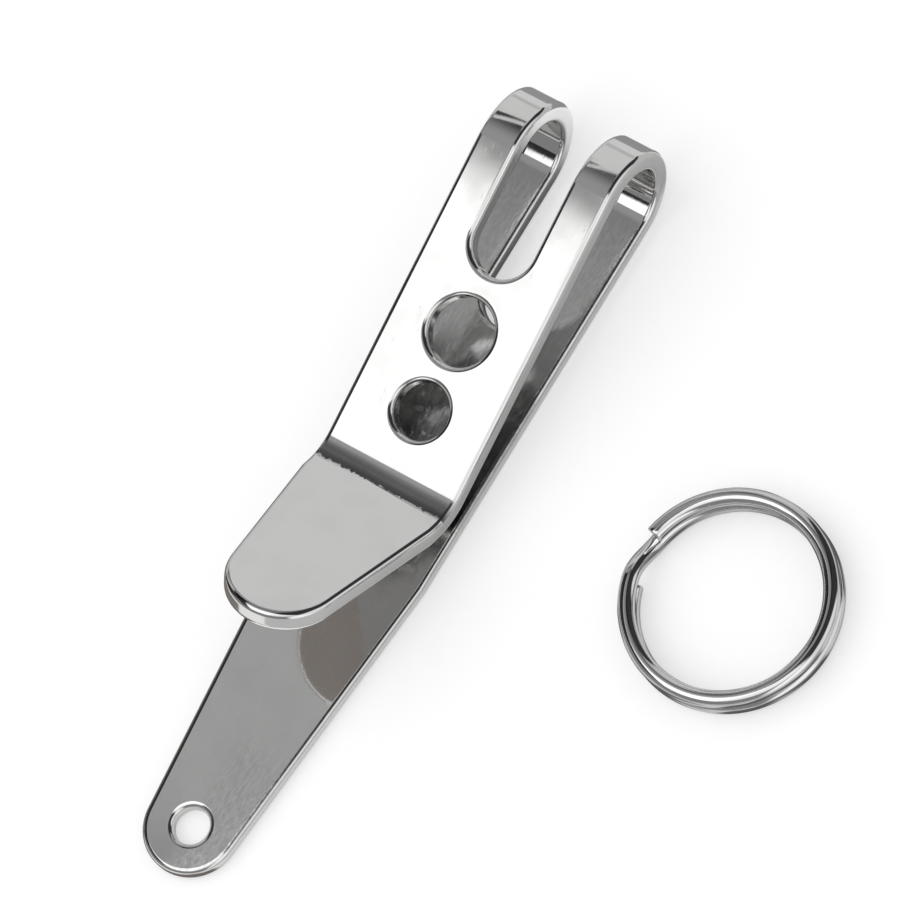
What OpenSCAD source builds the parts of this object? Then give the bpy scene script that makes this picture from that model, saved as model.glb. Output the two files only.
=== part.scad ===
// Pocket suspension clip for keys, with its loose split ring.
// One springy strip is folded back over itself: a long back leaf with a key eye, two narrow spring
// loops, and a front jaw with two accessory holes and a bent-up thumb lip.
// The strip is divided into nodes only where it has to flex.
// X runs from the key eye to the spring loops, Z is up from the surface that the clip lies on.

/* [Strip] */
// Width of the strip
strip_width = 8; // [7.6:0.1:9]
// Thickness of the strip at the front jaw
front_thickness = 1.2; // [1:0.05:1.4]
// Thickness of the strip at the back leaf
back_thickness = 0.8; // [0.7:0.05:1]

/* [Back leaf] */
// Distance from the centre of the key eye to the outermost point of the spring loops
eye_to_loop = 40.5; // [38:0.5:44]
// Radius of the rounded end round the key eye
eye_end_radius = 2.55; // [2.2:0.05:3]
// Diameter of the key eye
eye_bore = 1.9; // [1.6:0.1:2.4]
// Distance from the key eye to the point where the leaf has its full width
taper_length = 15.8; // [13:0.1:18]

/* [Spring loops] */
// Outer radius of the loops
loop_radius = 3.2; // [2.9:0.1:3.6]
// Width of the slot that parts the two loops
slot_width = 3.5; // [3:0.1:4]
// How far the slot reaches into the back leaf, from the outermost point of the loops
back_slot_reach = 11.1; // [9.5:0.1:12]
// How far the slot reaches into the front plate, from where the plate leaves the loops
front_slot_reach = 6.05; // [5:0.05:6.5]

/* [Front plate] */
// Slope of the plate down towards the thumb lip, in degrees
plate_slope = 12; // [11:0.25:12.5]
// Length of the flat plate, from the loops to the lip bend
plate_length = 16.9; // [16.4:0.1:17.6]
// Diameter of the hole beside the slot
large_bore = 3.6; // [3:0.1:4]
// Distance from the start of the plate to the centre of the large hole
large_bore_at = 9.15; // [8.8:0.05:9.3]
// Diameter of the hole beside the lip bend
small_bore = 3; // [2.4:0.1:3.2]
// Distance between the centres of the two holes
bore_spacing = 4.4; // [4:0.05:4.6]

/* [Thumb lip] */
// Angle of the bend between the plate and the lip, in degrees
lip_bend = 44; // [40:1:48]
// Inside radius of that bend
lip_bend_radius = 1.4; // [1.2:0.1:1.8]
// Length of the flat lip, from the bend to its tip
lip_length = 10.7; // [9.5:0.1:12]
// Length of the flat lip that still has the full width
lip_full_width_length = 0.9; // [0.5:0.1:2]
// Radius of the rounded tip
lip_tip_radius = 3; // [2.8:0.1:3.4]

/* [Split ring] */
// Outer diameter of the ring
ring_diameter = 11.4; // [10.8:0.1:13]
// Diameter of the ring's wire
wire_diameter = 0.9; // [0.7:0.05:1]
// Gap between the two turns
turn_gap = 0.44; // [0.44:0.02:0.6]
// Distance along X from the key eye to the ring's centre
ring_from_eye = 22.7; // [20:0.1:26]
// Clear gap along Y between the strip's side and the ring
ring_from_strip = 8.86; // [6:0.02:12]
// Direction of the upper cut end, seen from the ring's centre, in degrees
cut_direction = 79; // [60:1:110]
// Angle over which the wire steps from the upper turn to the lower one, in degrees
step_angle = 28; // [28:1:34]

/* [Hidden] */
$fn = 96;
half_width = strip_width / 2;
half_slot = slot_width / 2;
arm_width = half_width - half_slot;
loop_centre_x = eye_to_loop - loop_radius;
// The inner circle of the loops touches the inner faces of both leaves, so the strip thins smoothly
inner_radius = loop_radius
    - (front_thickness + back_thickness * cos(plate_slope)) / (1 + cos(plate_slope));
inner_centre_z = back_thickness + inner_radius;
small_bore_at = large_bore_at + bore_spacing;
// Clear run past a face, so that a cut leaves no skin
cut_margin = 1;
bend_steps = 12;
bend_angles = [for (k = [0 : bend_steps]) lip_bend * k / bend_steps];
steel = [0.78, 0.78, 0.8];
bright_steel = [0.84, 0.84, 0.86];

ring_pitch = wire_diameter + turn_gap;
turn_radius = (ring_diameter - wire_diameter) / 2;
ring_y = -(half_width + ring_from_strip + ring_diameter / 2);
lap_angle = 360 - step_angle;
wire_angle = 2 * lap_angle + step_angle;
wire_sides = 6;
// Corner radius of a six-sided wire whose flats lie one wire diameter apart
wire_corner = wire_diameter / 2 / cos(180 / wire_sides);
lap_rings = 22;
step_rings = 4;
measure_step = 2;

// Angle to the X axis of the straight edge from a round end to a wider strip
function taper_angle(run, radius) =
    atan2(half_width, run) - asin(radius / norm([run, half_width]));

// Plate that narrows from its full width at x = run to a round end at the origin
module tapered_plate(run, full, radius, thickness) {
    lean = taper_angle(run, radius);
    touch = [-radius * sin(lean), radius * cos(lean)];
    cylinder(r = radius, h = thickness);
    linear_extrude(height = thickness)
        polygon([
            touch,
            [run, half_width],
            [full, half_width],
            [full, -half_width],
            [run, -half_width],
            [touch.x, -touch.y]
        ]);
}

// Slot with a round end whose farthest point is at x = reach, open towards smaller x
module slot_outline(reach) {
    translate([reach - half_slot, 0]) circle(r = half_slot);
    translate([-cut_margin, -half_slot]) square([reach - half_slot + cut_margin, slot_width]);
}

module back_leaf() {
    color(steel)
        difference() {
            tapered_plate(taper_length, loop_centre_x, eye_end_radius, back_thickness);
            translate([0, 0, -cut_margin])
                cylinder(d = eye_bore, h = back_thickness + 2 * cut_margin);
            translate([loop_centre_x, 0, -cut_margin])
                mirror([1, 0, 0])
                    linear_extrude(height = back_thickness + 2 * cut_margin)
                        slot_outline(back_slot_reach - loop_radius);
        }
}

// Side view of one loop, from the end of the back leaf round to the start of the front plate
module loop_profile() {
    reach = 2 * loop_radius;
    lean = reach * tan(plate_slope);
    intersection() {
        difference() {
            circle(r = loop_radius);
            translate([0, inner_centre_z - loop_radius]) circle(r = inner_radius);
        }
        polygon([[0, 0], [0, -reach], [reach, -reach], [reach, reach], [-lean, reach]]);
    }
}

// One loop, whose near side is at y = start
module spring_loop(start) {
    color(steel)
        translate([loop_centre_x, start + arm_width, loop_radius])
            rotate([90, 0, 0])
                linear_extrude(height = arm_width)
                    loop_profile();
}

module left_spring_loop() {
    spring_loop(half_slot);
}

module right_spring_loop() {
    spring_loop(-half_width);
}

// Places its children in the plate's own frame: x runs down the plate, z is out of its outer face
module plate_frame() {
    translate([loop_centre_x, 0, loop_radius])
        rotate([0, -plate_slope, 0])
            translate([0, 0, loop_radius])
                mirror([1, 0, 0])
                    children();
}

// Places its children in the lip's own frame: x runs from the bend to the tip
module lip_frame() {
    translate([plate_length, 0, lip_bend_radius])
        rotate([0, -lip_bend, 0])
            translate([0, 0, -lip_bend_radius])
                children();
}

// Points of the bend between plate and lip, at one radius from its centre
function bend_points(radius, angles) = [
    for (a = angles)
        [plate_length + radius * sin(a), lip_bend_radius - radius * cos(a)]
];

// Side view of plate, bend and lip, drawn along the outer face and back along the inner one
module jaw_profile() {
    along_lip = lip_length * [cos(lip_bend), sin(lip_bend)];
    outer_bend = bend_points(lip_bend_radius, bend_angles);
    inner_bend = bend_points(lip_bend_radius + front_thickness, bend_angles);
    last = len(bend_angles) - 1;
    polygon(concat(
        [[0, 0]],
        outer_bend,
        [outer_bend[last] + along_lip, inner_bend[last] + along_lip],
        [for (k = [last : -1 : 0]) inner_bend[k]],
        [[0, -front_thickness]]
    ));
}

// What is cut off the lip on both sides of its tapering, rounded tip
module lip_corners() {
    tip = lip_length - lip_tip_radius;
    difference() {
        translate([lip_full_width_length, -strip_width, -front_thickness - cut_margin])
            cube([lip_length, 2 * strip_width, front_thickness + 2 * cut_margin]);
        translate([tip, 0, -front_thickness - 2 * cut_margin])
            mirror([1, 0, 0])
                tapered_plate(
                    tip - lip_full_width_length, tip, lip_tip_radius,
                    front_thickness + 4 * cut_margin
                );
    }
}

module front_jaw() {
    color(bright_steel)
        plate_frame()
            difference() {
                translate([0, half_width, 0])
                    rotate([90, 0, 0])
                        linear_extrude(height = strip_width)
                            jaw_profile();
                translate([0, 0, -front_thickness - cut_margin])
                    linear_extrude(height = front_thickness + 2 * cut_margin)
                        slot_outline(front_slot_reach);
                translate([large_bore_at, 0, -front_thickness - cut_margin])
                    cylinder(d = large_bore, h = front_thickness + 2 * cut_margin);
                translate([small_bore_at, 0, -front_thickness - cut_margin])
                    cylinder(d = small_bore, h = front_thickness + 2 * cut_margin);
                lip_frame()
                    lip_corners();
            }
}

// Height of the wire above the lower turn, as a share of the pitch, after it has turned by angle
function wire_level(angle) =
    angle < lap_angle ? 1
    : angle > lap_angle + step_angle ? 0
    : (1 + cos(180 * (angle - lap_angle) / step_angle)) / 2;

function wire_centre(angle) = [
    turn_radius * cos(cut_direction - angle),
    turn_radius * sin(cut_direction - angle),
    wire_diameter / 2 + ring_pitch * wire_level(angle)
];

function unit(v) = v / norm(v);

// The corners of one cross-section, square to the wire
function wire_section(angle) =
    let (
        centre = wire_centre(angle),
        along = unit(wire_centre(angle + measure_step / 2) - wire_centre(angle - measure_step / 2)),
        outward = [cos(cut_direction - angle), sin(cut_direction - angle), 0],
        upward = unit(cross(along, outward)),
        out = cross(upward, along)
    )
    [
        for (k = [0 : wire_sides - 1])
            centre
                + wire_corner * cos(360 * k / wire_sides) * out
                + wire_corner * sin(360 * k / wire_sides) * upward
    ];

// The turned angle at each cross-section: the upper turn, the step and the lower turn
wire_stations = concat(
    [for (k = [0 : lap_rings - 1]) lap_angle * k / lap_rings],
    [for (k = [0 : step_rings - 1]) lap_angle + step_angle * k / step_rings],
    [for (k = [0 : lap_rings]) lap_angle + step_angle + lap_angle * k / lap_rings]
);

// The gap between stretches of wire that lie more than half a turn apart along it
wire_points = [for (a = [0 : measure_step : wire_angle]) wire_centre(a)];
half_turn_points = floor(180 / measure_step);
least_gap = min([
    for (i = [0 : len(wire_points) - half_turn_points - 1])
        for (j = [i + half_turn_points : len(wire_points) - 1])
            norm(wire_points[i] - wire_points[j])
]) - wire_diameter;
echo("least gap between the turns of the split ring", least_gap);

module split_ring() {
    sections = len(wire_stations);
    corners = [for (a = wire_stations) each wire_section(a)];
    sides = [
        for (s = [0 : sections - 2])
            for (k = [0 : wire_sides - 1])
                let (
                    next = (k + 1) % wire_sides,
                    a = s * wire_sides + k,
                    b = s * wire_sides + next,
                    c = a + wire_sides,
                    d = b + wire_sides
                )
                each [[a, b, d], [a, d, c]]
    ];
    last = (sections - 1) * wire_sides;
    start_cap = [for (k = [1 : wire_sides - 2]) [0, k + 1, k]];
    end_cap = [for (k = [1 : wire_sides - 2]) [last, last + k, last + k + 1]];
    color(bright_steel)
        translate([ring_from_eye, ring_y, 0])
            polyhedron(points = corners, faces = concat(sides, start_cap, end_cap));
}

back_leaf();
left_spring_loop();
right_spring_loop();
front_jaw();
split_ring();
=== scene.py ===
# %% [markdown]
# # Pocket key clip with a split ring
#
# The clip is one strip of polished spring steel, so it is modelled the way it is made:
# a flat punched blank is cut out, its edges are tumbled round, and it is then folded.
# The split ring is one length of round wire, wound twice.

# %%
import bmesh
import bpy
import math
import numpy as np
from mathutils import Matrix, Vector


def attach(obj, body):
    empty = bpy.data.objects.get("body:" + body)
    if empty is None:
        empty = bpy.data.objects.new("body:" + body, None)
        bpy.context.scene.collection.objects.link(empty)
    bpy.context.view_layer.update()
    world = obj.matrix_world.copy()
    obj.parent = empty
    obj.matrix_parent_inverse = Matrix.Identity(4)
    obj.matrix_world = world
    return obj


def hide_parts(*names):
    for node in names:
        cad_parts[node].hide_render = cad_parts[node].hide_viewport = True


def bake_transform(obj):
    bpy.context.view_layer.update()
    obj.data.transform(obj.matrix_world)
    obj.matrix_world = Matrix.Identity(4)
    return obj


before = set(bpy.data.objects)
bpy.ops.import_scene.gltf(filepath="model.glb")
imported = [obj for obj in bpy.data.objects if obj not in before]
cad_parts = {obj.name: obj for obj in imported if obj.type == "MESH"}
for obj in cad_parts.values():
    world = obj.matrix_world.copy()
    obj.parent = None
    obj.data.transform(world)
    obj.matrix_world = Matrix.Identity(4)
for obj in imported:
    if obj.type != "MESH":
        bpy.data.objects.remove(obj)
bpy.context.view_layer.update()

# %% [markdown]
# ## The sizes
#
# These repeat the named values of the construction, in metres and radians.
# X runs from the key eye to the spring loops, and Z is up from the table. The lip's bend is
# eased to 2.2 mm, which takes 0.32 mm off each straight beside it. The blank has one plain
# thickness, and the fold gives each part its real one.

# %%
MM = 0.001
HALF_WIDTH = 4 * MM
BACK_THICK = 0.8 * MM
FRONT_THICK = 1.2 * MM
EYE_END_RADIUS = 2.55 * MM
EYE_RADIUS = 0.95 * MM
TAPER_LENGTH = 15.8 * MM
LOOP_RADIUS = 3.2 * MM
LOOP_X = 37.3 * MM
SLOT_START = 29.4 * MM
HALF_SLOT = 1.75 * MM
SLOPE = math.radians(12)
PLATE_LENGTH = 16.58 * MM
PLATE_SLOT = 6.05 * MM
LARGE_RADIUS, LARGE_AT = 1.8 * MM, 9.15 * MM
SMALL_RADIUS, SMALL_AT = 1.5 * MM, 13.55 * MM
LIP_BEND = math.radians(44)
LIP_BEND_RADIUS = 2.2 * MM
LIP_LENGTH = 10.38 * MM
LIP_FULL = 0.58 * MM
LIP_TIP_RADIUS = 3 * MM
EDGE_ROUND = 0.3 * MM
BLANK_THICK = 1 * MM
TINY = 1e-7
print("clip is", round((EYE_END_RADIUS + LOOP_X + LOOP_RADIUS) * 1000, 2), "mm long")

# %% [markdown]
# ## Where each stretch of the strip begins
#
# `s` is the length along the flat blank. The leaf comes first, then the fold, the front plate,
# the lip bend and the lip. Metal keeps its length at the middle of a bend, so a bend takes its
# angle times the radius there.

# %%
FOLD_ANGLE = math.pi + SLOPE
FOLD_MIDDLE = 2.7 * MM
PLATE_AT = LOOP_X + FOLD_ANGLE * FOLD_MIDDLE
BEND_AT = PLATE_AT + PLATE_LENGTH
LIP_AT = BEND_AT + LIP_BEND * (LIP_BEND_RADIUS + FRONT_THICK / 2)
TIP_AT = LIP_AT + LIP_LENGTH
blank_length = EYE_END_RADIUS + TIP_AT
print("blank is", round(blank_length * 1000, 2), "mm long, folded from", round(LOOP_X * 1000, 2))


# %% [markdown]
# ## The outline of the blank
#
# Both ends are round and narrower than the strip, so straight sides lean in to touch an arc.
# Each arc is made by spinning one point, which keeps its steps even.

# %%
EYE_END_STEPS, TIP_STEPS = 44, 48


def arc(bm, centre, start, turn, steps):
    """Spins the point start about centre, and returns the arc's first and last vertex."""
    first = bm.verts.new(start)
    result = bmesh.ops.spin(bm, geom=[first], cent=centre, axis=(0, 0, 1), angle=turn, steps=steps)
    last = [g for g in result["geom_last"] if isinstance(g, bmesh.types.BMVert)][0]
    return first, last


def taper_points(run, radius):
    """How far a tapering side leans in, and where it touches its round end."""
    lean = math.atan2(HALF_WIDTH, run) - math.asin(radius / math.hypot(run, HALF_WIDTH))
    return lean, -radius * math.sin(lean), radius * math.cos(lean)


def join(bm, *verts):
    """Draws a straight edge from each vertex to the next."""
    for a, b in zip(verts, verts[1:]):
        bm.edges.new((a, b))


blank = bmesh.new()
eye_lean, eye_x, eye_y = taper_points(TAPER_LENGTH, EYE_END_RADIUS)
eye_a, eye_b = arc(blank, (0, 0, 0), (eye_x, eye_y, 0), math.pi - 2 * eye_lean, EYE_END_STEPS)
full_end = LIP_AT + LIP_FULL
tip_centre = TIP_AT - LIP_TIP_RADIUS
tip_lean, tip_x, tip_y = taper_points(tip_centre - full_end, LIP_TIP_RADIUS)
tip_start = (tip_centre - tip_x, -tip_y, 0)
tip_a, tip_b = arc(blank, (tip_centre, 0, 0), tip_start, math.pi - 2 * tip_lean, TIP_STEPS)
right_side = [blank.verts.new((s, -HALF_WIDTH, 0)) for s in (TAPER_LENGTH, full_end)]
left_side = [blank.verts.new((s, HALF_WIDTH, 0)) for s in (full_end, TAPER_LENGTH)]
join(blank, eye_b, *right_side, tip_a)
join(blank, tip_b, *left_side, eye_a)
print("outer edges:", len(blank.edges))

# %% [markdown]
# ## The slot and the holes
#
# One long slot runs round the fold and parts the strip into the two loops. The eye and the
# plate's two holes are plain circles.

# %%
SLOT_END_STEPS, HOLE_SEGMENTS = 40, 64
PLATE_HOLES = ((PLATE_AT + LARGE_AT, LARGE_RADIUS), (PLATE_AT + SMALL_AT, SMALL_RADIUS))

slot_low, slot_high = SLOT_START + HALF_SLOT, PLATE_AT + PLATE_SLOT - HALF_SLOT
low_start, high_start = (slot_low, HALF_SLOT, 0), (slot_high, -HALF_SLOT, 0)
low_a, low_b = arc(blank, (slot_low, 0, 0), low_start, math.pi, SLOT_END_STEPS)
high_a, high_b = arc(blank, (slot_high, 0, 0), high_start, math.pi, SLOT_END_STEPS)
join(blank, low_b, high_a)
join(blank, high_b, low_a)
for s, radius in ((0, EYE_RADIUS), *PLATE_HOLES):
    centre = Matrix.Translation((s, 0, 0))
    bmesh.ops.create_circle(blank, segments=HOLE_SEGMENTS, radius=radius, matrix=centre)
print("outline edges:", len(blank.edges))

# %% [markdown]
# ## Punching and tumbling
#
# The outline is filled, given its thickness, and every rim is rounded. A rim is an edge whose
# two faces meet at a sharp angle.

# %%
RIM_ANGLE = 1.2
RIM_SEGMENTS = 6

bmesh.ops.triangle_fill(blank, use_beauty=True, use_dissolve=False, edges=blank.edges[:])
grown = bmesh.ops.extrude_face_region(blank, geom=blank.faces[:])
top = [g for g in grown["geom"] if isinstance(g, bmesh.types.BMVert)]
bmesh.ops.translate(blank, verts=top, vec=(0, 0, BLANK_THICK))
bmesh.ops.recalc_face_normals(blank, faces=blank.faces[:])
shared = [e for e in blank.edges if len(e.link_faces) == 2]
rims = [e for e in shared if abs(e.calc_face_angle(0)) > RIM_ANGLE]
flat_rims = [e for e in rims if abs(e.verts[0].co.z - e.verts[1].co.z) < TINY]
bmesh.ops.bevel(
    blank, geom=flat_rims, offset=EDGE_ROUND, offset_type="OFFSET", segments=RIM_SEGMENTS,
    profile=0.5, affect="EDGES", clamp_overlap=False, material=-1,
)
print("rounded rims:", len(flat_rims), "faces:", len(blank.faces))

# %% [markdown]
# ## Rows for the folds
#
# A fold needs closely spaced rows across the strip. The flats need none.

# %%
FOLD_ROWS, BEND_ROWS = 96, 18
ON_ROW = 1e-8

fold_rows = [LOOP_X + (PLATE_AT - LOOP_X) * k / FOLD_ROWS for k in range(FOLD_ROWS + 1)]
bend_rows = [BEND_AT + (LIP_AT - BEND_AT) * k / BEND_ROWS for k in range(BEND_ROWS + 1)]
for s in fold_rows + bend_rows:
    bmesh.ops.bisect_plane(
        blank, geom=blank.verts[:] + blank.edges[:] + blank.faces[:], dist=ON_ROW,
        plane_co=(s, 0, 0), plane_no=(1, 0, 0),
    )
print("faces with rows:", len(blank.faces))


# %% [markdown]
# ## One order of points and faces
#
# The operators list the same points and faces in another order each time. Sorted by place,
# they come out the same in every run.

# %%
def put_in_order(elements, place_of):
    """Sorts points, edges or faces by their place."""
    rank = {element: k for k, element in enumerate(sorted(elements, key=place_of))}
    elements.sort(key=rank.get)
    elements.index_update()


put_in_order(blank.verts, lambda vert: tuple(vert.co))
for elements in (blank.edges, blank.faces):
    put_in_order(elements, lambda element: sorted(vert.index for vert in element.verts))
blank.verts.ensure_lookup_table()
print("first point in mm:", [round(v * 1000, 2) for v in blank.verts[0].co])


# %% [markdown]
# ## Folding
#
# Each point keeps its place across the width and its share of the thickness. The strip is
# thinner at the leaf than at the plate. Inside the fold it follows a smaller circle that is
# set a little lower, so its thickness changes smoothly from one to the other.

# %%
INNER_RADIUS = LOOP_RADIUS - (FRONT_THICK + BACK_THICK * math.cos(SLOPE)) / (1 + math.cos(SLOPE))
INNER_DROP = LOOP_RADIUS - BACK_THICK - INNER_RADIUS


def fold(s, share):
    """Side view of a point: s along the blank, share 0 on the outer face and 1 on the inner one."""
    if s <= LOOP_X:
        return s, BACK_THICK * share
    if s < PLATE_AT:
        angle = -math.pi / 2 + FOLD_ANGLE * (s - LOOP_X) / (PLATE_AT - LOOP_X)
        inside = -INNER_DROP * math.sin(angle)
        inside += math.sqrt(INNER_RADIUS**2 - (INNER_DROP * math.cos(angle)) ** 2)
        reach = LOOP_RADIUS + (inside - LOOP_RADIUS) * share
        return LOOP_X + reach * math.cos(angle), LOOP_RADIUS + reach * math.sin(angle)
    # u runs down the plate and v is out of its outer face
    u, v = min(s, BEND_AT) - PLATE_AT, -FRONT_THICK * share
    if s > BEND_AT:
        turn = LIP_BEND * min(1, (s - BEND_AT) / (LIP_AT - BEND_AT))
        reach = LIP_BEND_RADIUS - v
        beyond = max(0, s - LIP_AT)
        u += reach * math.sin(turn) + beyond * math.cos(turn)
        v = LIP_BEND_RADIUS - reach * math.cos(turn) + beyond * math.sin(turn)
    x = LOOP_X - (LOOP_RADIUS + v) * math.sin(SLOPE) - u * math.cos(SLOPE)
    z = LOOP_RADIUS + (LOOP_RADIUS + v) * math.cos(SLOPE) - u * math.sin(SLOPE)
    return x, z


print("lip tip stands", round(fold(TIP_AT, 0)[1] * 1000, 2), "mm high")


# %% [markdown]
# ## Flats that stay flat
#
# A mirror shows the smallest error in a normal. Where a rounding meets a flat, the normal is
# the flat's own, so that flats reflect as flats. It is found on the blank and turns with the
# fold.

# %%
NUDGE = 0.01 * MM


def side_turn(s, share):
    """The way the strip runs at a point, as a unit vector in the side view."""
    x0, z0 = fold(s - NUDGE, share)
    x1, z1 = fold(s + NUDGE, share)
    length = math.hypot(x1 - x0, z1 - z0)
    return (x1 - x0) / length, (z1 - z0) / length


def blank_normal(vert):
    """Normal at a point of the blank, square to its two faces and to its cut walls."""
    depth = vert.co.z
    if min(depth, BLANK_THICK - depth) < TINY:
        return Vector((0, 0, 1 if depth > BLANK_THICK / 2 else -1))
    if EDGE_ROUND - TINY < depth < BLANK_THICK - EDGE_ROUND + TINY:
        return Vector((vert.normal.x, vert.normal.y, 0)).normalized()
    return vert.normal.copy()


blank.normal_update()
strip_place, normals = [], []
for vert in blank.verts:
    s, y, depth = vert.co
    n = blank_normal(vert)
    run_x, run_z = side_turn(s, depth / BLANK_THICK)
    normals.append((n.x * run_x - n.z * run_z, n.y, n.x * run_z + n.z * run_x))
    strip_place.append((s, y, depth))
for vert, (s, y, depth) in zip(blank.verts, strip_place):
    x, z = fold(s, depth / BLANK_THICK)
    vert.co = (x, y, z)
print("folded points:", len(strip_place))

# %% [markdown]
# ## The clip's mesh
#
# The mesh also keeps each point's place on the flat blank, and which points lie on a rim,
# because the finish is drawn along the strip and not across the folded clip.

# %%
for face in blank.faces:
    face.smooth = True
clip_mesh = bpy.data.meshes.new("spring_clip")
blank.to_mesh(clip_mesh)
blank.free()
clip_mesh.normals_split_custom_set_from_vertices(normals)
place = clip_mesh.attributes.new("strip_place", "FLOAT_VECTOR", "POINT")
place.data.foreach_set("vector", np.array(strip_place, np.float32).ravel())
depths = np.array(strip_place)[:, 2]
on_rim = (depths > 0.001 * BLANK_THICK) & (depths < 0.999 * BLANK_THICK)
rim = clip_mesh.attributes.new("rim", "FLOAT", "POINT")
rim.data.foreach_set("value", on_rim.astype(np.float32))
spring_clip = bpy.data.objects.new("spring_clip", clip_mesh)
bpy.context.collection.objects.link(spring_clip)
print("clip triangles:", sum(len(p.vertices) - 2 for p in clip_mesh.polygons))

# %% [markdown]
# ## The split ring
#
# One wire lies on two levels. Both turns cover the same circle but for a short step, where
# the wire crosses from the upper level to the lower one.

# %%
RING_CENTRE = Vector((22.7 * MM, -18.56 * MM, 0))
WIRE = 0.9 * MM
TURN_RADIUS = 5.25 * MM
PITCH = 0.93 * MM
CUT = math.radians(79)
STEP = math.radians(28)
LAP = 2 * math.pi - STEP
LAP_STATIONS, STEP_STATIONS = 120, 16


def wire_point(angle):
    """The middle of the wire, at an angle run from its upper end."""
    if angle < LAP:
        level = 1
    elif angle > LAP + STEP:
        level = 0
    else:
        level = (1 + math.cos(math.pi * (angle - LAP) / STEP)) / 2
    around = CUT - angle
    return RING_CENTRE + Vector(
        (TURN_RADIUS * math.cos(around), TURN_RADIUS * math.sin(around), WIRE / 2 + PITCH * level)
    )


stations = [LAP * k / LAP_STATIONS for k in range(LAP_STATIONS)]
stations += [LAP + STEP * k / STEP_STATIONS for k in range(STEP_STATIONS)]
stations += [LAP + STEP + LAP * k / LAP_STATIONS for k in range(LAP_STATIONS + 1)]
print("stations along the wire:", len(stations))

# %% [markdown]
# A poly curve with a round bevel carries the wire through its stations. Only its mesh is kept.

# %%
path = bpy.data.curves.new("ring_path", "CURVE")
path.dimensions = "3D"
path.bevel_depth = WIRE / 2
path.bevel_resolution = 6
path.use_fill_caps = True
path.twist_mode = "Z_UP"
spline = path.splines.new("POLY")
spline.points.add(len(stations) - 1)
for point, angle in zip(spline.points, stations):
    point.co = (*wire_point(angle), 1)
path_object = bpy.data.objects.new("ring_path", path)
bpy.context.collection.objects.link(path_object)
graph = bpy.context.evaluated_depsgraph_get()
ring_mesh = bpy.data.meshes.new_from_object(path_object.evaluated_get(graph))
bpy.data.objects.remove(path_object)
print("swept faces:", len(ring_mesh.polygons))

# %% [markdown]
# The wire is cut square at both ends, and tumbling has taken the burr off each cut. The two
# cut faces, which alone have many corners, stay flat. All the others are smooth.

# %%
CUT_ANGLE = 1
CUT_ROUND = 0.08 * MM
CUT_CORNERS = 8

work = bmesh.new()
work.from_mesh(ring_mesh)
bmesh.ops.remove_doubles(work, verts=work.verts[:], dist=TINY)
bmesh.ops.recalc_face_normals(work, faces=work.faces[:])
shared = [e for e in work.edges if len(e.link_faces) == 2]
cut_edges = [e for e in shared if e.calc_face_angle(0) > CUT_ANGLE]
bmesh.ops.bevel(
    work, geom=cut_edges, offset=CUT_ROUND, segments=2, profile=0.5, affect="EDGES", material=-1,
)
for face in work.faces:
    face.smooth = len(face.verts) < CUT_CORNERS
work.to_mesh(ring_mesh)
work.free()
ring_mesh.name = "split_ring_wire"
split_ring = bpy.data.objects.new("split_ring_wire", ring_mesh)
bpy.context.collection.objects.link(split_ring)
print("ring faces:", len(ring_mesh.polygons), "cut edges:", len(cut_edges))


# %% [markdown]
# ## Short names for shader nodes
#
# The finishes and the light are sums and products of many small nodes. Each helper adds what
# it is named for to a tree and returns an output, which the next one takes as an input.

# %%
def feed(tree, socket, value):
    """Links a node's output to the socket, or sets the socket to a plain value."""
    if isinstance(value, bpy.types.NodeSocket):
        tree.links.new(value, socket)
    else:
        socket.default_value = value


def node(tree, kind, **inputs):
    """A node of one kind, with its named inputs linked or set."""
    made = tree.nodes.new(kind)
    for name, value in inputs.items():
        feed(tree, made.inputs[name], value)
    return made


print("node helpers:", [f.__name__ for f in (feed, node)])


# %% [markdown]
# Sums and products may have any number of terms. Other operations combine two.

# %%
def combine(tree, operation, first, second):
    made = tree.nodes.new("ShaderNodeMath")
    made.operation = operation
    feed(tree, made.inputs[0], first)
    feed(tree, made.inputs[1], second)
    return made.outputs[0]


def add(tree, total, *others):
    for other in others:
        total = combine(tree, "ADD", total, other)
    return total


def times(tree, product, *others):
    for other in others:
        product = combine(tree, "MULTIPLY", product, other)
    return product


print("number helpers:", [f.__name__ for f in (combine, add, times)])


# %% [markdown]
# Most marks have soft borders. A span changes smoothly from one value to another while a
# coordinate crosses a border, and a zone begins at one border and ends at the next.

# %%
def span(tree, value, low, high, to_low, to_high):
    """Smooth change from to_low to to_high while value goes from low to high."""
    made = tree.nodes.new("ShaderNodeMapRange")
    made.interpolation_type = "SMOOTHSTEP"
    limits = {"From Min": low, "From Max": high, "To Min": to_low, "To Max": to_high}
    for name, number in {"Value": value, **limits}.items():
        feed(tree, made.inputs[name], number)
    return made.outputs["Result"]


def zone(tree, value, start, full, fade, end):
    """1 from full to fade, and 0 before start and after end."""
    return times(tree, span(tree, value, start, full, 0, 1), span(tree, value, fade, end, 1, 0))


print("border helpers:", [f.__name__ for f in (span, zone)])


# %% [markdown]
# Patterns and distances are drawn on coordinates: the strip's own, or an object's.

# %%
def stretched(tree, where, scale, turn=0):
    """Coordinates scaled on each axis and then turned about Z, for patterns of fine lines."""
    return node(
        tree, "ShaderNodeMapping", Vector=where, Rotation=(0, 0, turn), Scale=scale
    ).outputs[0]


def noise(tree, where, scale, detail, **more):
    made = node(tree, "ShaderNodeTexNoise", Vector=where, Scale=scale, Detail=detail, **more)
    return made.outputs["Fac"]


def distance(tree, where, point):
    made = tree.nodes.new("ShaderNodeVectorMath")
    made.operation = "DISTANCE"
    feed(tree, made.inputs[0], where)
    made.inputs[1].default_value = point
    return made.outputs["Value"]


def axes(tree, where):
    """The X, Y and Z of coordinates."""
    parts = node(tree, "ShaderNodeSeparateXYZ", Vector=where)
    return [parts.outputs[name] for name in "XYZ"]


print("pattern helpers:", [f.__name__ for f in (stretched, noise, distance, axes)])


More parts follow.
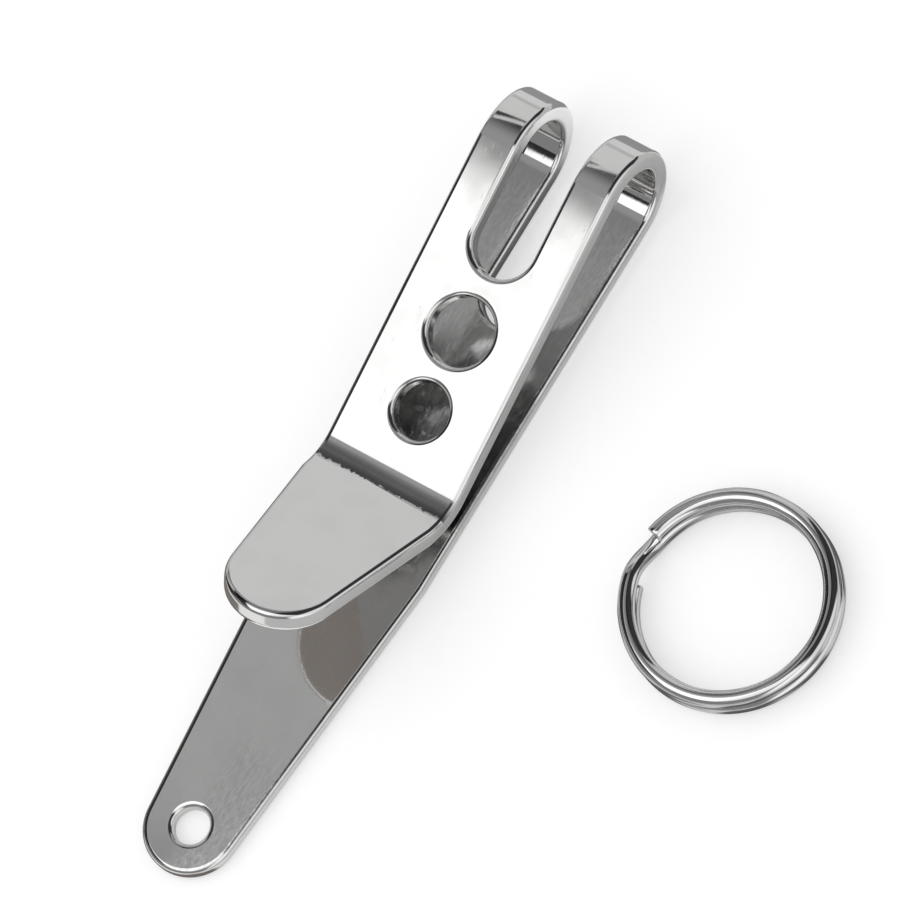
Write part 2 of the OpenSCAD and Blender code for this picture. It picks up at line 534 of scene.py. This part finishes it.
# %% [markdown]
# ## What the polishing wheel leaves
#
# Mirror polish is never perfect. Both finishes have fine lines from the wheel, a few deeper
# scratches and a faint haze. Three values carry them: how dull the surface is, how high it
# stands, and how stained it is.

# %%
WHEEL_LINES, WHEEL_HEIGHT = (90, 5200, 5200), 0.06
SCRATCH_LINES, SCRATCH_TURN = (900, 5200, 900), 0.9
SCRATCH_DEPTH, SCRATCH_DULL = 0.05, 0.05
HAZE_SCALE, HAZE_DULL = 420, 1.9
WAVE_SCALE = 150


def wheel_polish(tree, where, roughness):
    """Dullness, height and stain of polished steel, and the haze that the marks share."""
    wheel = noise(tree, stretched(tree, where, WHEEL_LINES), 1, 3)
    scratch = noise(tree, stretched(tree, where, SCRATCH_LINES, SCRATCH_TURN), 1, 2)
    deep = span(tree, scratch, 0.66, 0.74, 0, 1)
    haze = noise(tree, where, HAZE_SCALE, 4)
    wave = noise(tree, where, WAVE_SCALE, 1)
    dull = span(tree, haze, 0.35, 0.75, roughness, roughness * HAZE_DULL)
    dull = add(tree, dull, times(tree, deep, SCRATCH_DULL))
    height = add(tree, times(tree, wheel, WHEEL_HEIGHT), wave, times(tree, deep, -SCRATCH_DEPTH))
    stain = span(tree, haze, 0.4, 0.7, 0, 1)
    return dull, height, stain, haze


print("wheel lines are about", round(1000 / WHEEL_LINES[1], 2), "mm apart")


# %% [markdown]
# ## Wrinkles on the leaf's inner face
#
# The wheel can't reach the inner face, so its plating stays wrinkled: most beside the eye and
# under the plate, and hardly at all between them. `spread` is the length along the strip with
# an uneven border, so that no mark ends in a straight line.

# %%
BY_EYE_ENDS = (4 * MM, 9 * MM)
UNDER_PLATE_STARTS = (15 * MM, 19 * MM)
LEAST_WRINKLES = 0.12


def wrinkles(tree, along, across, spread, inner):
    """How wrinkled the plating is, from 0 to 1."""
    ring_side = span(tree, across, -1 * MM, 1 * MM, 1, 0)
    by_eye = times(tree, span(tree, spread, *BY_EYE_ENDS, 1, 0), ring_side)
    under_plate = span(tree, spread, *UNDER_PLATE_STARTS, 0, 1)
    most = combine(tree, "MAXIMUM", by_eye, under_plate)
    on_leaf = span(tree, along, 36 * MM, 38 * MM, 1, 0)
    return times(tree, inner, on_leaf, combine(tree, "MAXIMUM", most, LEAST_WRINKLES))


print("wrinkles by the eye end at", round(BY_EYE_ENDS[1] * 1000, 1), "mm")
print("wrinkles under the plate start at", round(UNDER_PLATE_STARTS[0] * 1000, 1), "mm")


# %% [markdown]
# ## Dark stretches on the leaf
#
# Where the jaw presses, painted shade darkens the leaf's inner face most, broken by a few
# lighter spots. Behind the large hole, painted shade darkens the near part of the leaf too.

# %%
PRESSED_STARTS, PRESSED_ENDS = (16.5 * MM, 19.5 * MM), (26.2 * MM, 27.2 * MM)
# steps of painted shade under the jaw, and the fewer steps in its lighter spots
PRESSED_SHADE, SPOT_SHADE = 17, 2
# where across the leaf, and how many steps, the painted shade behind the large hole goes
HOLE_SHADE_ACROSS = (-2.6 * MM, -1.6 * MM, 1.3 * MM, 1.6 * MM)
HOLE_SHADE = 6


def shade_under_jaw(tree, where, spread, inner):
    """Painted shade where the jaw presses, lighter in a few spots."""
    spotty_shade = span(tree, noise(tree, where, 1500, 3), 0.58, 0.66, PRESSED_SHADE, SPOT_SHADE)
    return times(tree, zone(tree, spread, *PRESSED_STARTS, *PRESSED_ENDS), inner, spotty_shade)


def shade_behind_hole(tree, along, across, spread, inner, haze):
    """Painted shade behind the large hole."""
    ragged = add(tree, across, span(tree, haze, 0.3, 0.7, -0.2 * MM, 0.2 * MM))
    wide = zone(tree, ragged, *HOLE_SHADE_ACROSS)
    past_pressed = span(tree, spread, *PRESSED_ENDS, 0, 1)
    before_loops = span(tree, along, 31.5 * MM, 33.5 * MM, 1, 0)
    return times(tree, wide, past_pressed, before_loops, inner, HOLE_SHADE)


# the painted shade under the jaw spans this much of the leaf
print("jaw presses", round((PRESSED_ENDS[0] - PRESSED_STARTS[1]) * 1000, 1), "mm of the leaf dark")


# %% [markdown]
# ## Marks on the plate
#
# The lip's bend gets painted shade down to a ragged edge. The punch pushed the plate up a
# little all round its two holes.

# %%
VALLEY_SHARE = 0.78
VALLEY_END = BEND_AT + VALLEY_SHARE * (LIP_AT - BEND_AT)
# steps of painted shade at the top of the bend and down to its ragged end
BEND_SHADE, BEND_END_SHADE = 9, 14
VALLEY_TEETH = (0, 2600, 0)
PUSHED_UP = 1.2


def lip_bend_shade(tree, where, along, outer):
    """Painted shade in the bend of the lip."""
    teeth = noise(tree, stretched(tree, where, VALLEY_TEETH), 1, 4, Roughness=0.7)
    ragged = add(tree, along, span(tree, teeth, 0.25, 0.75, -0.18 * MM, 0.18 * MM))
    upper = span(tree, along, BEND_AT, BEND_AT + 0.9 * MM, 0, BEND_SHADE)
    lower = span(tree, along, BEND_AT + 0.6 * MM, VALLEY_END, 0, BEND_END_SHADE)
    above_end = span(tree, ragged, VALLEY_END - 0.02 * MM, VALLEY_END + 0.02 * MM, 1, 0)
    return times(tree, add(tree, upper, lower), above_end, outer)


def raised_rims(tree, where, outer, haze):
    """Height of the plate round its holes."""
    uneven = span(tree, haze, 0.3, 0.7, -0.1 * MM, 0.1 * MM)
    rise = []
    for s, radius in PLATE_HOLES:
        away = add(tree, distance(tree, where, (s, 0, 0)), uneven)
        rise.append(span(tree, away, radius + 0.2 * MM, radius + 0.9 * MM, PUSHED_UP, 0))
    return times(tree, add(tree, *rise), outer)


# the painted shade in the bend reaches this far
print("dark valley ends", round((VALLEY_END - BEND_AT) * 1000, 2), "mm down the bend")


# %% [markdown]
# ## All marks of the strip together
#
# Each mark stays on its own face, the inner or the outer one, which the depth in the blank
# tells apart. Rims are a little duller, because tumbling left them so.

# %%
CRUMPLE, CRUMPLE_TURN = (2600, 6500, 2600), 0.5
RIM_DULL, WRINKLE_DULL, PRESSED_DULL, VALLEY_DULL = 0.03, 0.06, 0.004, 0.012
WRINKLE_HEIGHT, PRESSED_HEIGHT = 0.9, 0.07
PEEL_STAIN = 3


def strip_marks(tree, where, haze):
    """Dullness, height, and stain with painted shade that the marks add to the strip."""
    along, across, depth = axes(tree, where)
    inner = span(tree, depth, 0.8 * BLANK_THICK, BLANK_THICK, 0, 1)
    outer = span(tree, depth, 0.1 * BLANK_THICK, 0.3 * BLANK_THICK, 1, 0)
    uneven = span(tree, noise(tree, where, 200, 2), 0.2, 0.8, -3 * MM, 3 * MM)
    spread = add(tree, along, uneven)
    peel = noise(tree, stretched(tree, where, CRUMPLE, CRUMPLE_TURN), 1, 3)
    wrinkled = wrinkles(tree, along, across, spread, inner)
    jaw_shade = shade_under_jaw(tree, where, spread, inner)
    valley = lip_bend_shade(tree, where, along, outer)
    rim_mark = tree.nodes.new("ShaderNodeAttribute")
    rim_mark.attribute_name = "rim"
    dull = add(
        tree, times(tree, rim_mark.outputs["Fac"], RIM_DULL), times(tree, wrinkled, WRINKLE_DULL),
        times(tree, jaw_shade, PRESSED_DULL), times(tree, valley, VALLEY_DULL),
    )
    height = add(
        tree, times(tree, peel, wrinkled, WRINKLE_HEIGHT),
        times(tree, peel, jaw_shade, PRESSED_HEIGHT), raised_rims(tree, where, outer, haze),
    )
    peeled = times(tree, wrinkled, span(tree, peel, 0.35, 0.65, 0, PEEL_STAIN))
    behind_hole = shade_behind_hole(tree, along, across, spread, inner, haze)
    # of this sum, the stretch under the jaw, the stretch behind the hole and the lip's bend are
    # painted shade; the peeled plating is its own stain
    return dull, height, add(tree, peeled, jaw_shade, behind_hole, valley)


print("crumpled plating repeats about every", round(1000 / CRUMPLE[1], 2), "mm")


# %% [markdown]
# ## What the finishes are drawn on
#
# The clip's finish is drawn on the strip's own place, which folds with it. The ring and the
# studio are drawn on each object's coordinates.

# %%
def strip_coordinates(tree):
    source = tree.nodes.new("ShaderNodeAttribute")
    source.attribute_name = "strip_place"
    return source.outputs["Vector"]


def object_coordinates(tree):
    return tree.nodes.new("ShaderNodeTexCoord").outputs["Object"]


print("drawn on:", [f.__name__ for f in (strip_coordinates, object_coordinates)])

# %% [markdown]
# ## Polished steel
#
# One unit of stain or painted shade takes the steel one step darker, and the marks, most of all
# the painted shade, go many steps, so the mix isn't clamped.

# %%
DARKEN_STEP = 0.965
BUMP_STRENGTH, BUMP_HEIGHT = 0.35, 0.02 * MM


def steel(name, color, roughness, coordinates, marks=None):
    """Polished steel, drawn on some coordinates, with marks added if there are any."""
    material = bpy.data.materials.new(name)
    material.use_nodes = True
    tree = material.node_tree
    where = coordinates(tree)
    dull, height, stain, haze = wheel_polish(tree, where, roughness)
    if marks:
        more_dull, more_height, more_stain_and_shade = marks(tree, where, haze)
        dull, height = add(tree, dull, more_dull), add(tree, height, more_height)
        # the marks' share holds painted shade as well as stain
        stain = add(tree, stain, more_stain_and_shade)
    tone = tree.nodes.new("ShaderNodeMix")
    tone.data_type = "RGBA"
    tone.clamp_factor = False
    feed(tree, tone.inputs["Factor"], stain)
    tone.inputs["A"].default_value = (*color, 1)
    tone.inputs["B"].default_value = (*[c * DARKEN_STEP for c in color], 1)
    bump = node(
        tree, "ShaderNodeBump", Height=height, Strength=BUMP_STRENGTH, Distance=BUMP_HEIGHT
    )
    shader = tree.nodes["Principled BSDF"]
    feed(tree, shader.inputs["Base Color"], tone.outputs["Result"])
    feed(tree, shader.inputs["Roughness"], dull)
    feed(tree, shader.inputs["Normal"], bump.outputs["Normal"])
    shader.inputs["Metallic"].default_value = 1
    return material


clip_steel = steel("clip_steel", (0.93, 0.925, 0.92), 0.05, strip_coordinates, strip_marks)
ring_steel = steel("ring_steel", (0.94, 0.94, 0.935), 0.06, object_coordinates)
clip_mesh.materials.append(clip_steel)
ring_mesh.materials.append(ring_steel)
print("finishes:", [m.name for m in bpy.data.materials])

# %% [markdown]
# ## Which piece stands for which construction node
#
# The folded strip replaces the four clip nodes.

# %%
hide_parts("back_leaf", "left_spring_loop", "right_spring_loop", "front_jaw")
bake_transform(spring_clip)
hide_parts("split_ring")
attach(split_ring, "key_ring")


# %% [markdown]
# ## Cards for the metal to mirror
#
# Bright metal shows its surroundings, so the surroundings are what is lit: a white table,
# two flat cards near the clip, and a dark room. Each card has its own pattern of light.

# %%
def glow(name, build):
    """A material that only shines; build returns its brightness from the card's coordinates."""
    material = bpy.data.materials.new(name)
    material.use_nodes = True
    tree = material.node_tree
    tree.nodes.clear()
    where = object_coordinates(tree)
    x, y, _ = axes(tree, where)
    shine = node(tree, "ShaderNodeEmission", Strength=build(tree, where, x, y))
    node(tree, "ShaderNodeOutputMaterial", Surface=shine.outputs[0])
    return material


def card(name, size, place, material):
    """A flat card, size across, with its middle at place."""
    work = bmesh.new()
    bmesh.ops.create_grid(work, x_segments=1, y_segments=1, size=0.5)
    bmesh.ops.scale(work, verts=work.verts[:], vec=(*size, 1))
    mesh = bpy.data.meshes.new(name)
    work.to_mesh(mesh)
    work.free()
    mesh.materials.append(material)
    made = bpy.data.objects.new(name, mesh)
    made.matrix_world = Matrix.Translation(place)
    bpy.context.collection.objects.link(made)
    return made


print("studio helpers:", [f.__name__ for f in (glow, card)])

# %% [markdown]
# ## The ceiling
#
# It is white on one side, for the plate to mirror, and grey on the other.

# %%
WHITE_EDGE = (5.8 * MM, 8.1 * MM)
WHITE = 1.12
EDGE_GREY, GREY, FAR_GREY = 0.26, 0.35, 0.22


def ceiling_light(tree, where, x, y):
    uneven = span(tree, noise(tree, where, 70, 3), 0.2, 0.8, -0.4 * MM, 0.4 * MM)
    soft_x = add(tree, x, uneven)
    white = span(tree, soft_x, *WHITE_EDGE, WHITE, 0)
    far_grey = span(tree, x, 26 * MM, 44 * MM, GREY, FAR_GREY)
    far_grey = times(tree, far_grey, span(tree, x, 56 * MM, 75 * MM, 1, 0.5))
    grey = combine(tree, "MINIMUM", far_grey, span(tree, x, 11 * MM, 14.5 * MM, EDGE_GREY, GREY))
    grey = times(
        tree, grey, span(tree, soft_x, *WHITE_EDGE, 0, 1),
        span(tree, y, -66 * MM, -48 * MM, 0.06, 1),
    )
    near_part = span(tree, y, 12 * MM, 18 * MM, 1, 0.02)
    return times(tree, add(tree, white, grey), near_part)


ceiling = card("ceiling", (0.22, 0.16), (0, 0.05, 0.12), glow("ceiling_light", ceiling_light))
print("ceiling hangs", round(ceiling.location.z * 1000), "mm over the table")


# %% [markdown]
# ## The screen beside the loops
#
# The outer curve of each loop mirrors a low screen: shaded at first, and then pale from a
# wavy edge on. Neither card is seen by the camera, and neither lights or shades the table.

# %%
WAVES = (0, 700, 0)
SHADES = (0.28, 0.03)
PALE = 0.545


def screen_light(tree, where, x, _):
    wave = noise(tree, stretched(tree, where, WAVES), 1, 0)
    wavy_x = add(tree, x, span(tree, wave, 0.3, 0.7, -9 * MM, 9 * MM))
    shade = span(tree, x, -76.5 * MM, -60.5 * MM, *SHADES)
    return add(tree, shade, span(tree, wavy_x, -59.1 * MM, -58.5 * MM, 0, PALE))


screen = card("screen", (0.163, 0.07), (0.113, 0.0365, 0.028), glow("screen_light", screen_light))
for made in (ceiling, screen):
    made.visible_camera = False
    made.visible_diffuse = False
    made.visible_shadow = False
print("cards:", ceiling.name, screen.name)


# %% [markdown]
# ## The table as the metal shows it
#
# Seen in the metal the table is greyer than it is: painted shade, as a table is that lies in
# the shade of the clip and of the camera, which only rays from the metal see. Close to the clip its
# tone decides how the walls of the strip, the two holes and the underside of the lip look, so each
# stretch of it has its own painted shade or painted reflection.

# %%
TAPER_SLOPE = 0.092
NEAR_TONES = (0.187, 0.172, 0.160)
OPEN_TONE, EDGE_TONE, EYE_TONE, END_TONE = 0.45, 0.8, 0.8, 0.75
SIDE_TONE, FAR_TONE = 0.27, 0.57
# the first pair are painted streaks of light and dark for the ring to mirror
RING_REFLECTION_TONES, PLATE_TONES = (0.12, 0.62), (0.05, 0.36)


def beside_clip(tree, where, side_of_leaf):
    """The table on the ring's side as only the metal sees it: a painted bright line along the leaf,
    and painted streaks of light and dark round the ring for it to mirror.
    """
    ring_reflections = span(tree, noise(tree, where, 260, 1), 0.42, 0.58, *RING_REFLECTION_TONES)
    from_ring = distance(tree, where, RING_CENTRE)
    open_table = span(tree, from_ring, 8.5 * MM, 10.5 * MM, ring_reflections, OPEN_TONE)
    return span(tree, side_of_leaf, -3.3 * MM, -2.9 * MM, open_table, EDGE_TONE)


def under_loops(tree, along, side):
    """The table under the plate and the loops, and past them."""
    between = span(tree, along, 36.5 * MM, 38.5 * MM, SIDE_TONE, 1)
    between = span(tree, along, 42 * MM, 43 * MM, between, SIDE_TONE)
    past_loops = span(tree, along, 53 * MM, 54.5 * MM, between, FAR_TONE)
    plate_side = span(tree, along, 28 * MM, 31.5 * MM, *PLATE_TONES)
    far_side = span(tree, side, 2.5 * MM, 4.5 * MM, SIDE_TONE, plate_side)
    return span(tree, along, 37 * MM, 40 * MM, far_side, past_loops)


def mirrored_table(tree, where):
    """Red, green and blue of the table in the metal."""
    along, side, _ = axes(tree, where)
    # the leaf's near edge runs out from the eye to the full width
    taper = times(tree, combine(tree, "MINIMUM", along, TAPER_LENGTH), TAPER_SLOPE)
    side_of_leaf = add(tree, side, taper)
    beside = beside_clip(tree, where, side_of_leaf)
    loops = under_loops(tree, along, side)
    from_eye = distance(tree, where, (0, 0, 0))
    bands = []
    for near in NEAR_TONES:
        under = span(tree, along, 24 * MM, 28 * MM, near, loops)
        under = span(tree, along, -4.5 * MM, -3 * MM, END_TONE, under)
        tone = span(tree, side_of_leaf, -2.6 * MM, -2.4 * MM, beside, under)
        bands.append(span(tree, from_eye, 1.2 * MM, 1.4 * MM, EYE_TONE, tone))
    return bands


print("tone under the leaf:", NEAR_TONES)

# %% [markdown]
# ## The table
#
# The table is plain and nearly white. To the camera it is half lit and half plain white, so
# that its shadows stay faint. To all other rays but those from the metal it is fully lit.

# %%
TABLE_WHITE = (0.955, 0.965)
PLAIN_SHARE = 0.5

table = bpy.data.materials.new("table")
table.use_nodes = True
tree = table.node_tree
shader = tree.nodes["Principled BSDF"]
where = object_coordinates(tree)
ray = tree.nodes.new("ShaderNodeLightPath")
to_camera, to_metal = ray.outputs["Is Camera Ray"], ray.outputs["Is Glossy Ray"]
level = span(tree, noise(tree, where, 900, 4), 0.3, 0.7, *TABLE_WHITE)
lit_share = span(tree, to_camera, 0, 1, 1, 1 - PLAIN_SHARE)
red, green, blue = [
    times(tree, level, span(tree, to_metal, 0, 1, lit_share, band))
    for band in mirrored_table(tree, where)
]
tone = node(tree, "ShaderNodeCombineColor", Red=red, Green=green, Blue=blue)
feed(tree, shader.inputs["Base Color"], tone.outputs[0])
feed(tree, shader.inputs["Emission Strength"], span(tree, to_camera, 0, 1, 0, PLAIN_SHARE))
shader.inputs["Roughness"].default_value = 0.9
shader.inputs["Specular IOR Level"].default_value = 0
floor = card("floor", (3, 3), (0, 0, -0.02 * MM), table)
print("table nodes:", len(tree.nodes), "size:", tuple(round(v, 2) for v in floor.dimensions))

# %% [markdown]
# ## The window
#
# One wide, soft light from a window gives the clip and the ring their faint shadows. It is
# too large and too plain to be mirrored as a lamp, so the metal doesn't show it.

# %%
sun = bpy.data.lights.new("window", "SUN")
sun.energy = 1.15
sun.angle = math.radians(70)
window = bpy.data.objects.new("window", sun)
window.rotation_euler = (math.radians(-25), math.radians(-20), 0)
window.visible_glossy = False
bpy.context.collection.objects.link(window)
print("window spreads over", round(math.degrees(sun.angle)), "degrees")

# %% [markdown]
# ## The room
#
# The room is drawn on the sky. Towards the loops a pale wall stands under a dark opening,
# and the sides are dim, which gives the rims their thin dark lines. From behind and from the
# near side there is more light, so that no face is black from another view.

# %%
WALL_TONES = (0.30, 0.57)
DARKEST = 0.04

world = bpy.data.worlds.new("room")
bpy.context.scene.world = world
world.use_nodes = True
tree = world.node_tree
tree.nodes.clear()
direction = tree.nodes.new("ShaderNodeTexCoord").outputs["Generated"]
x, y, z = axes(tree, direction)
torn = noise(tree, direction, 22, 3)
torn_y = add(tree, y, span(tree, torn, 0.2, 0.8, -0.02, 0.02))
torn_z = add(tree, z, span(tree, torn, 0.2, 0.8, -0.04, 0.04))
wall = times(
    tree, span(tree, x, 0.15, 0.22, 0, 1), span(tree, torn_y, 0.10, 0.18, 0, 1),
    span(tree, torn_z, -0.2, -0.1, *WALL_TONES),
)
near_half, behind = span(tree, y, 0.48, 0.58, 1, 0), span(tree, x, -0.42, -0.3, 1, 0)
low_sky = span(tree, z, 0.6, 0.8, 0.23, 1)
sky = times(
    tree, span(tree, x, -0.12, 0.02, WHITE, 0), low_sky,
    combine(tree, "MAXIMUM", near_half, behind),
)
near_side = times(tree, span(tree, y, -0.76, -0.62, 0.9, 0), span(tree, z, 0.55, 0.75, 1, 0))
room = combine(tree, "MAXIMUM", add(tree, wall, sky, near_side), DARKEST)
print("drawn room nodes:", len(tree.nodes))

# %% [markdown]
# Only the metal sees the drawn room. The table is lit by a plain sky, and the camera sees
# plain white. The background shader's own grey is 0.8, so white takes a strength of 1.25.

# %%
BACKGROUND_GREY = 0.8

ray = tree.nodes.new("ShaderNodeLightPath")
to_camera = ray.outputs["Is Camera Ray"]
plain = combine(tree, "MAXIMUM", to_camera, ray.outputs["Is Diffuse Ray"])
plain_strength = span(tree, to_camera, 0, 1, 1, 1 / BACKGROUND_GREY)
strength = node(tree, "ShaderNodeMix", Factor=plain, A=room, B=plain_strength)
back = node(tree, "ShaderNodeBackground", Strength=strength.outputs["Result"])
node(tree, "ShaderNodeOutputWorld", Surface=back.outputs[0])
print("room nodes:", len(tree.nodes))

# %% [markdown]
# ## The camera
#
# Far away and with a long lens, as the photograph shows almost no perspective. Its axes come
# from a fit of the clip's corners and holes.

# %%
RIGHT = Vector((0.5188, -0.8081, -0.2788)).normalized()
BACK = RIGHT.cross(Vector((0.8436, 0.4313, 0.3198))).normalized()
UP = BACK.cross(RIGHT)
TARGET = Vector((22.44, -2.50, 3.07)) * MM
VIEW_WIDTH = 44.956 * MM

lens = bpy.data.cameras.new("camera")
lens.sensor_width = 36
lens.lens = 500
lens.clip_start, lens.clip_end = 0.01, 10
distance_away = VIEW_WIDTH * lens.lens / lens.sensor_width
camera = bpy.data.objects.new("camera", lens)
camera.rotation_mode = "QUATERNION"
camera.rotation_quaternion = Matrix((RIGHT, UP, BACK)).transposed().to_quaternion()
camera.location = TARGET + BACK * distance_away
bpy.context.collection.objects.link(camera)
bpy.context.scene.camera = camera
bpy.context.scene.view_settings.view_transform = "Standard"
print("camera stands", round(distance_away, 3), "m away")
